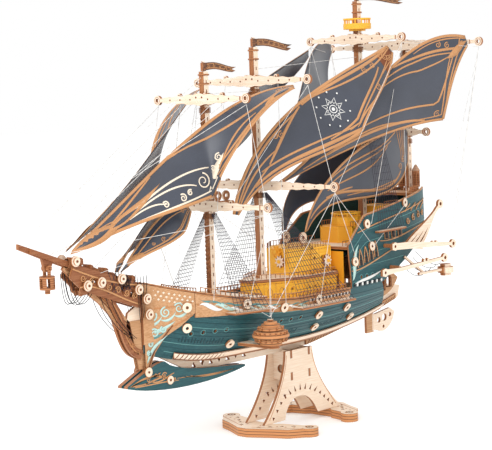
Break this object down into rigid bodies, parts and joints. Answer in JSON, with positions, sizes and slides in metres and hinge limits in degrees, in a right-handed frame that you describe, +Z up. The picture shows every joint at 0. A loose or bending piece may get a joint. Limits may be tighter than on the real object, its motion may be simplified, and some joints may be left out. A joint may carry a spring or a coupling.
{
  "type": "ship model",
  "caption": "Laser-cut plywood puzzle of a fantasy sailing ship on an openwork stand, with curved printed sails, masts, yards, cabins, turning gears, turrets, wind vanes and a rudder.",
  "frame": {"origin": "on the floor under the front foot, on the centre plane, at the middle of the model between the stem and the stern", "axes": "+X aft, from bowsprit to stern; +Y to starboard; +Z up"},
  "size_m": [0.574, 0.2196, 0.4498],
  "materials": {
    "plywood_natural": "unfinished laser-cut basswood ply",
    "plywood_tan": "printed tan ply",
    "plywood_brown": "laser-charred brown ply",
    "teal_print": "matte printed teal ply",
    "yellow_print": "matte printed yellow ply",
    "orange_print": "matte printed orange ply",
    "sail_print": "matte printed veneer sheet",
    "net_cord": "knotted thread net",
    "white_cord": "white thread"
  },
  "bodies": {
    "ship": {"stand_foot_front": "plywood_natural", "stand_foot_rear": "plywood_natural", "stand_side_port": "plywood_natural", "stand_side_starboard": "plywood_natural", "stand_yokes": "plywood_natural", "keel_board": "plywood_natural", "keel_rails": "plywood_tan", "bulkheads": "plywood_natural", "hull_side_port": "teal_print", "hull_side_starboard": "teal_print", "bow_panels": "plywood_tan", "ram_cheeks": "teal_print", "cutwater_knees": "plywood_brown", "stern_quarters": "teal_print", "gunwale_bands": "plywood_tan", "channel_boards": "plywood_natural", "stern_counter": "plywood_tan", "stern_galleries": "plywood_tan", "taffrail": "plywood_tan", "fore_deck": "plywood_natural", "main_deck": "plywood_natural", "poop_deck": "plywood_natural", "hull_rings": "plywood_natural", "lower_cabin": "yellow_print", "cabin_roof": "plywood_natural", "upper_cabin": "orange_print", "aft_cabin": "orange_print", "stern_cabin": "orange_print", "lookout_turret": "yellow_print", "fore_mast": "plywood_brown", "main_mast": "plywood_brown", "mizzen_mast": "plywood_brown", "jigger_mast": "plywood_brown", "fore_yards": "plywood_natural", "main_yards": "plywood_natural", "mizzen_yard_arm": "plywood_natural", "jigger_yards": "plywood_natural", "crows_nest": "yellow_print", "jib_sails": "sail_print", "fore_sails": "sail_print", "main_sails": "sail_print", "mizzen_sails": "sail_print", "jigger_sails": "sail_print", "bowsprit": "plywood_brown", "beakhead_rails": "plywood_brown", "stern_lanterns": "plywood_natural", "stern_booms": "plywood_natural", "stern_fans": "plywood_natural", "shroud_nets": "net_cord", "rigging": "white_cord"},
    "rudder": {"rudder": "plywood_natural"},
    "gear_driver": {"gear_driver": "plywood_natural"},
    "gear_driven": {"gear_driven": "orange_print"},
    "gear_side": {"gear_side": "plywood_natural"},
    "turret_port": {"side_turret_port": "plywood_brown"},
    "turret_starboard": {"side_turret_starboard": "plywood_brown"},
    "vane_fore": {"pennant_fore": "sail_print"},
    "vane_main": {"pennant_main": "sail_print"},
    "vane_mizzen": {"pennant_mizzen": "sail_print"},
    "bow_lantern": {"bow_lantern": "plywood_natural"}
  },
  "joints": [
    {"name": "rudder_swing", "type": "hinge", "parent": "ship", "child": "rudder", "pos_m": [0.199, 0, 0.088], "axis": [0, 0, 1], "range_deg": [-35, 35]},
    {"name": "gear_driver_spin", "type": "hinge", "parent": "ship", "child": "gear_driver", "pos_m": [0.0451, -0.004, 0.172], "axis": [1, 0, 0], "continuous": true},
    {"name": "gear_driven_spin", "type": "hinge", "parent": "ship", "child": "gear_driven", "pos_m": [0.0451, 0.00065, 0.18197], "axis": [1, 0, 0], "continuous": true},
    {"name": "gear_side_spin", "type": "hinge", "parent": "ship", "child": "gear_side", "pos_m": [0.089, -0.0299, 0.17], "axis": [0, 1, 0], "continuous": true},
    {"name": "turret_port_spin", "type": "hinge", "parent": "ship", "child": "turret_port", "pos_m": [-0.039, -0.064, 0.114], "axis": [0, 0, 1], "continuous": true},
    {"name": "turret_starboard_spin", "type": "hinge", "parent": "ship", "child": "turret_starboard", "pos_m": [-0.039, 0.064, 0.114], "axis": [0, 0, 1], "continuous": true},
    {"name": "vane_fore_turn", "type": "hinge", "parent": "ship", "child": "vane_fore", "pos_m": [-0.053, 0, 0.373], "axis": [0, 0, 1], "continuous": true},
    {"name": "vane_main_turn", "type": "hinge", "parent": "ship", "child": "vane_main", "pos_m": [0.02, 0, 0.396], "axis": [0, 0, 1], "continuous": true},
    {"name": "vane_mizzen_turn", "type": "hinge", "parent": "ship", "child": "vane_mizzen", "pos_m": [0.188, 0, 0.444], "axis": [0, 0, 1], "continuous": true},
    {"name": "bow_lantern_swing", "type": "hinge", "parent": "ship", "child": "bow_lantern", "pos_m": [-0.262, 0, 0.19868], "axis": [0, 1, 0], "range_deg": [-25, 25]}
  ],
  "couplings": [
    {"joint": "gear_driven_spin", "follows": "gear_driver_spin", "ratio": -1}
  ]
}
